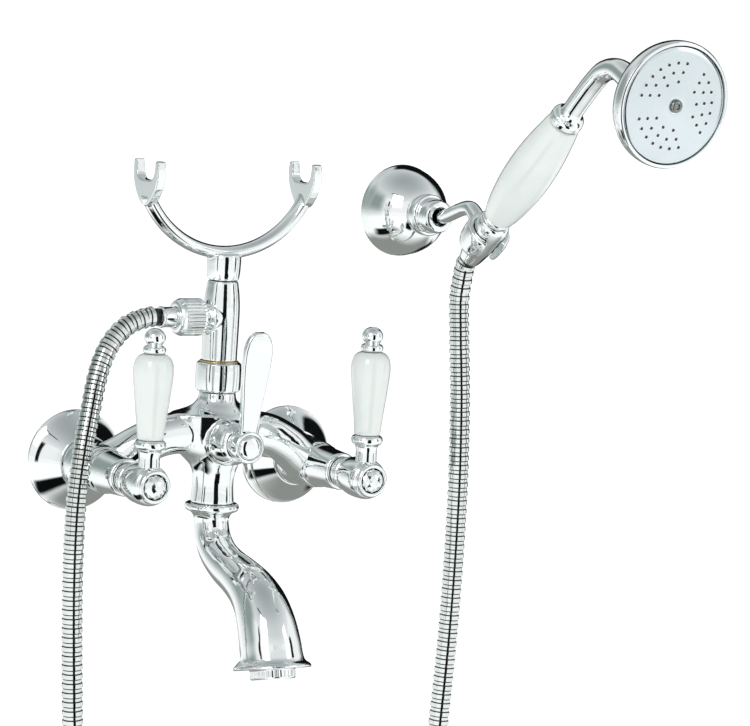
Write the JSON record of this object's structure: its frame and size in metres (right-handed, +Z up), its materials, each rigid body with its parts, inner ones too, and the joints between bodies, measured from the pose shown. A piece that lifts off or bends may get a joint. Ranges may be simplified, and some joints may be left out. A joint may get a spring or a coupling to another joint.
{
  "type": "bath shower mixer",
  "caption": "Wall-mounted bath mixer with lever valves, a diverter, a swan spout, a telephone cradle, a metal shower hose and a hand shower resting in a wall bracket.",
  "frame": {"origin": "on the finished wall, midway between the hot and cold inlets", "axes": "+X to the right when facing the wall, +Y into the wall, +Z up"},
  "size_m": [0.2981, 0.3318, 0.7292],
  "materials": {
    "chrome": "polished chrome plate",
    "brass": "machined brass",
    "steel": "stainless steel",
    "porcelain": "white glaze",
    "crystal": "clear moulded crystal",
    "rubber": "black sealing rubber",
    "plastic": "white moulded plastic"
  },
  "bodies": {
    "mixer": {"mixer_body": "chrome", "hot_rosette": "chrome", "hot_union": "brass", "hot_union_nut": "chrome", "hot_union_washer": "rubber", "hot_bonnet": "chrome", "hot_cartridge": "brass", "cold_rosette": "chrome", "cold_union": "brass", "cold_union_nut": "chrome", "cold_union_washer": "rubber", "cold_bonnet": "chrome", "cold_cartridge": "brass", "diverter_dome": "chrome", "diverter_cartridge": "brass", "collar_nut": "chrome", "column_ring": "brass", "riser_column": "chrome", "hose_nut": "chrome", "hose_washer": "rubber", "outlet_ferrule": "chrome", "shower_hose": "steel", "bracket_rosette": "chrome", "bracket_plate": "steel", "bracket_screw_left": "steel", "bracket_screw_right": "steel", "bracket_collar": "chrome", "holder_arm": "chrome"},
    "hot_handle": {"hot_spindle": "brass", "hot_hub": "chrome", "hot_handle_screw": "steel", "hot_crystal": "crystal", "hot_lever_stem": "chrome", "hot_grip": "porcelain", "hot_finial": "chrome"},
    "cold_handle": {"cold_spindle": "brass", "cold_hub": "chrome", "cold_handle_screw": "steel", "cold_crystal": "crystal", "cold_lever_stem": "chrome", "cold_grip": "porcelain", "cold_finial": "chrome"},
    "diverter_handle": {"diverter_spindle": "brass", "diverter_lever": "chrome", "diverter_screw": "steel", "diverter_cap": "chrome"},
    "spout": {"spout": "chrome", "aerator_housing": "chrome", "aerator_insert": "plastic"},
    "cradle": {"cradle_fork": "chrome"},
    "hose_end": {"handset_ferrule": "chrome"},
    "handset": {"cone_nut": "chrome", "handset_inlet": "chrome", "handset_grip": "porcelain", "handset_neck": "chrome", "head_shell": "chrome", "spray_plate": "chrome", "spray_screw": "steel"}
  },
  "joints": [
    {"name": "hot_handle_turn", "type": "hinge", "parent": "mixer", "child": "hot_handle", "pos_m": [-0.075, -0.1045, 0], "axis": [0, -1, 0], "range_deg": [0, 90]},
    {"name": "cold_handle_turn", "type": "hinge", "parent": "mixer", "child": "cold_handle", "pos_m": [0.075, -0.1045, 0], "axis": [0, -1, 0], "range_deg": [-90, 0]},
    {"name": "diverter_turn", "type": "hinge", "parent": "mixer", "child": "diverter_handle", "pos_m": [0, -0.08, 0.0189], "axis": [0, -1, 0], "range_deg": [-45, 45]},
    {"name": "spout_swivel", "type": "hinge", "parent": "mixer", "child": "spout", "pos_m": [0, -0.046, -0.022], "axis": [0, 0, 1], "range_deg": [-45, 45]},
    {"name": "cradle_swivel", "type": "hinge", "parent": "mixer", "child": "cradle", "pos_m": [0, -0.046, 0.1173], "axis": [0, 0, 1], "range_deg": [-90, 90]},
    {"name": "handset_lift", "type": "slide", "parent": "mixer", "child": "hose_end", "axis": [0, -0.7314, 0.682], "range_m": [0, 0.05]},
    {"name": "handset_turn", "type": "hinge", "parent": "hose_end", "child": "handset", "pos_m": [0.1522, -0.104, 0.1505], "axis": [0, -0.7314, 0.682], "range_deg": [-60, 60]}
  ]
}
